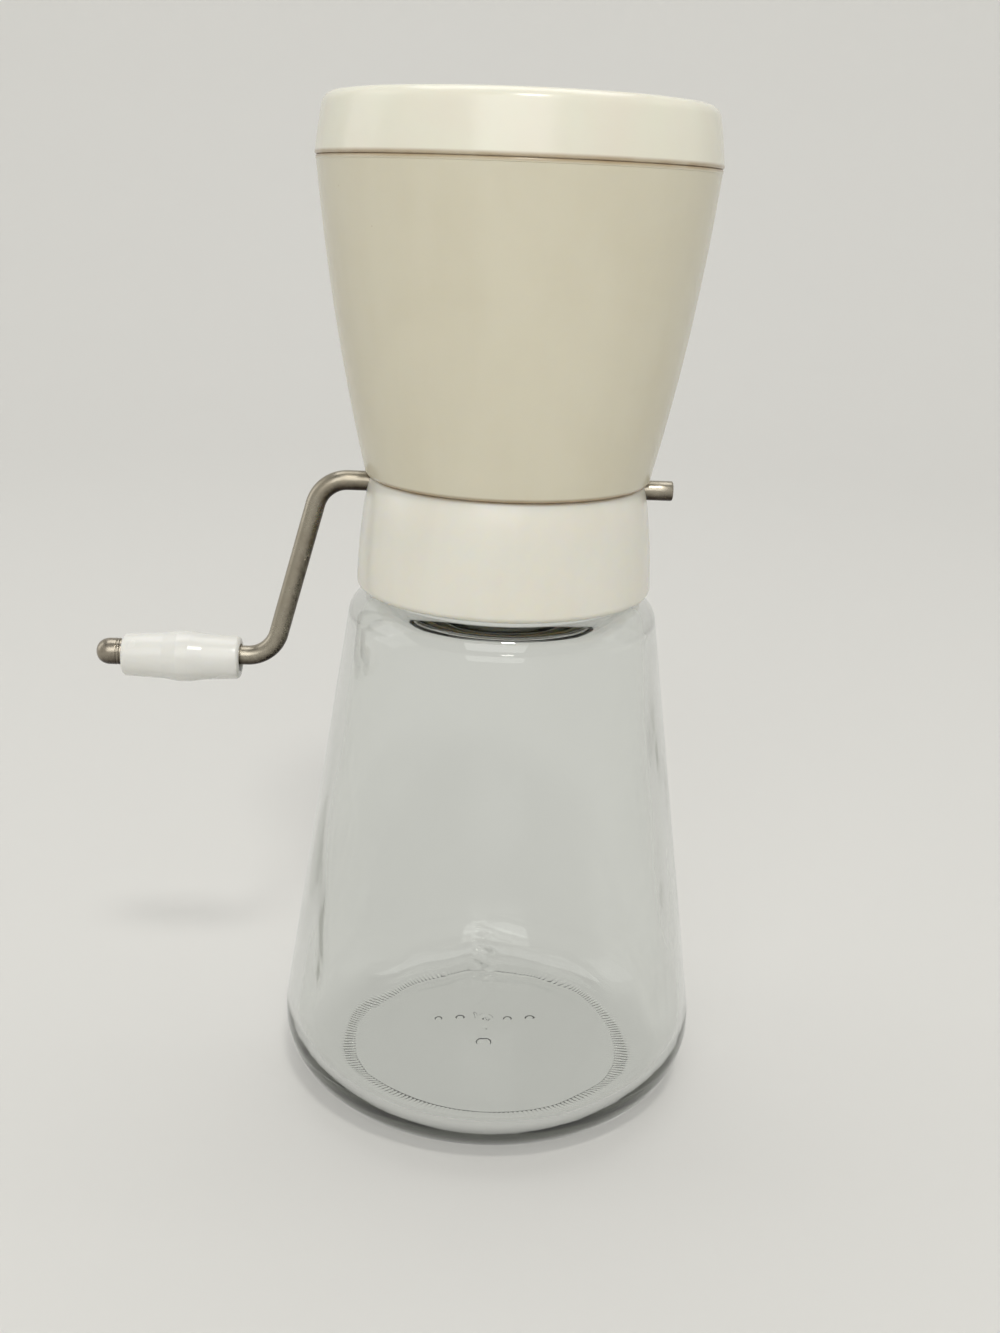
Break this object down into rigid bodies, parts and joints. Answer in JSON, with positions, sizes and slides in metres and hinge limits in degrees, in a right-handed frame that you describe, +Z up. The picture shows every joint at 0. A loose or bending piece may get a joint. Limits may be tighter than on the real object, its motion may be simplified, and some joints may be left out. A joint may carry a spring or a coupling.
{
  "type": "nut grinder",
  "caption": "Hand-cranked nut grinder: lidded tapered hopper on a screw collar with a bladed crank shaft, over a clear glass jar that catches the ground nuts.",
  "frame": {"origin": "centre of the jar's foot ring, on the table", "axes": "+Z up along the jar's axis; the crank shaft lies along X, with its handle at -X; -Y is the side pictured"},
  "size_m": [0.1227, 0.0854, 0.1941],
  "materials": {
    "clear_glass": "clear pressed glass",
    "gasket_rubber": "soft pale rubber",
    "ivory_plastic": "moulded ivory plastic, soft gloss",
    "beige_plastic": "moulded beige plastic, soft gloss",
    "white_plastic": "moulded white plastic",
    "nickel_plate": "nickel-plated steel wire",
    "stainless_steel": "stamped stainless steel"
  },
  "bodies": {
    "jar": {"glass_jar": "clear_glass"},
    "gasket": {"jar_gasket": "gasket_rubber"},
    "collar": {"screw_collar": "ivory_plastic", "coarse_comb": "stainless_steel", "fine_comb": "stainless_steel", "coarse_comb_screws": "stainless_steel", "fine_comb_screws": "stainless_steel"},
    "crank": {"crank_rod": "nickel_plate", "cap_nut": "nickel_plate", "grip_washer": "nickel_plate", "rotor_blade_1": "stainless_steel", "rotor_blade_2": "stainless_steel", "rotor_blade_3": "stainless_steel", "rotor_blade_4": "stainless_steel", "rotor_blade_5": "stainless_steel", "rotor_blade_6": "stainless_steel", "rotor_spacer_1": "stainless_steel", "rotor_spacer_2": "stainless_steel", "rotor_spacer_3": "stainless_steel", "rotor_spacer_4": "stainless_steel", "rotor_spacer_5": "stainless_steel", "end_spacer_left": "stainless_steel", "end_spacer_right": "stainless_steel", "retaining_ring_left": "stainless_steel", "retaining_ring_right": "stainless_steel"},
    "grip": {"crank_grip": "white_plastic"},
    "hopper": {"hopper": "beige_plastic"},
    "lid": {"lid": "ivory_plastic"}
  },
  "joints": [
    {"name": "gasket_lift", "type": "slide", "parent": "jar", "child": "gasket", "axis": [0, 0, 1], "range_m": [0, 0.0043]},
    {"name": "collar_unscrew", "type": "hinge", "parent": "gasket", "child": "collar", "pos_m": [0, 0, 0.1242], "axis": [0, 0, 1], "range_deg": [0, 360]},
    {"name": "crank_spin", "type": "hinge", "parent": "collar", "child": "crank", "pos_m": [0, 0, 0.1242], "axis": [1, 0, 0], "continuous": true},
    {"name": "grip_spin", "type": "hinge", "parent": "crank", "child": "grip", "pos_m": [-0.063, 0, 0.08785], "axis": [1, 0, 0], "continuous": true},
    {"name": "hopper_lift", "type": "slide", "parent": "collar", "child": "hopper", "axis": [0, 0, 1], "range_m": [0, 0.04]},
    {"name": "lid_lift", "type": "slide", "parent": "hopper", "child": "lid", "axis": [0, 0, 1], "range_m": [0, 0.04]}
  ],
  "couplings": [
    {"joint": "gasket_lift", "follows": "collar_unscrew", "m_per_rad": 0.00067322}
  ]
}
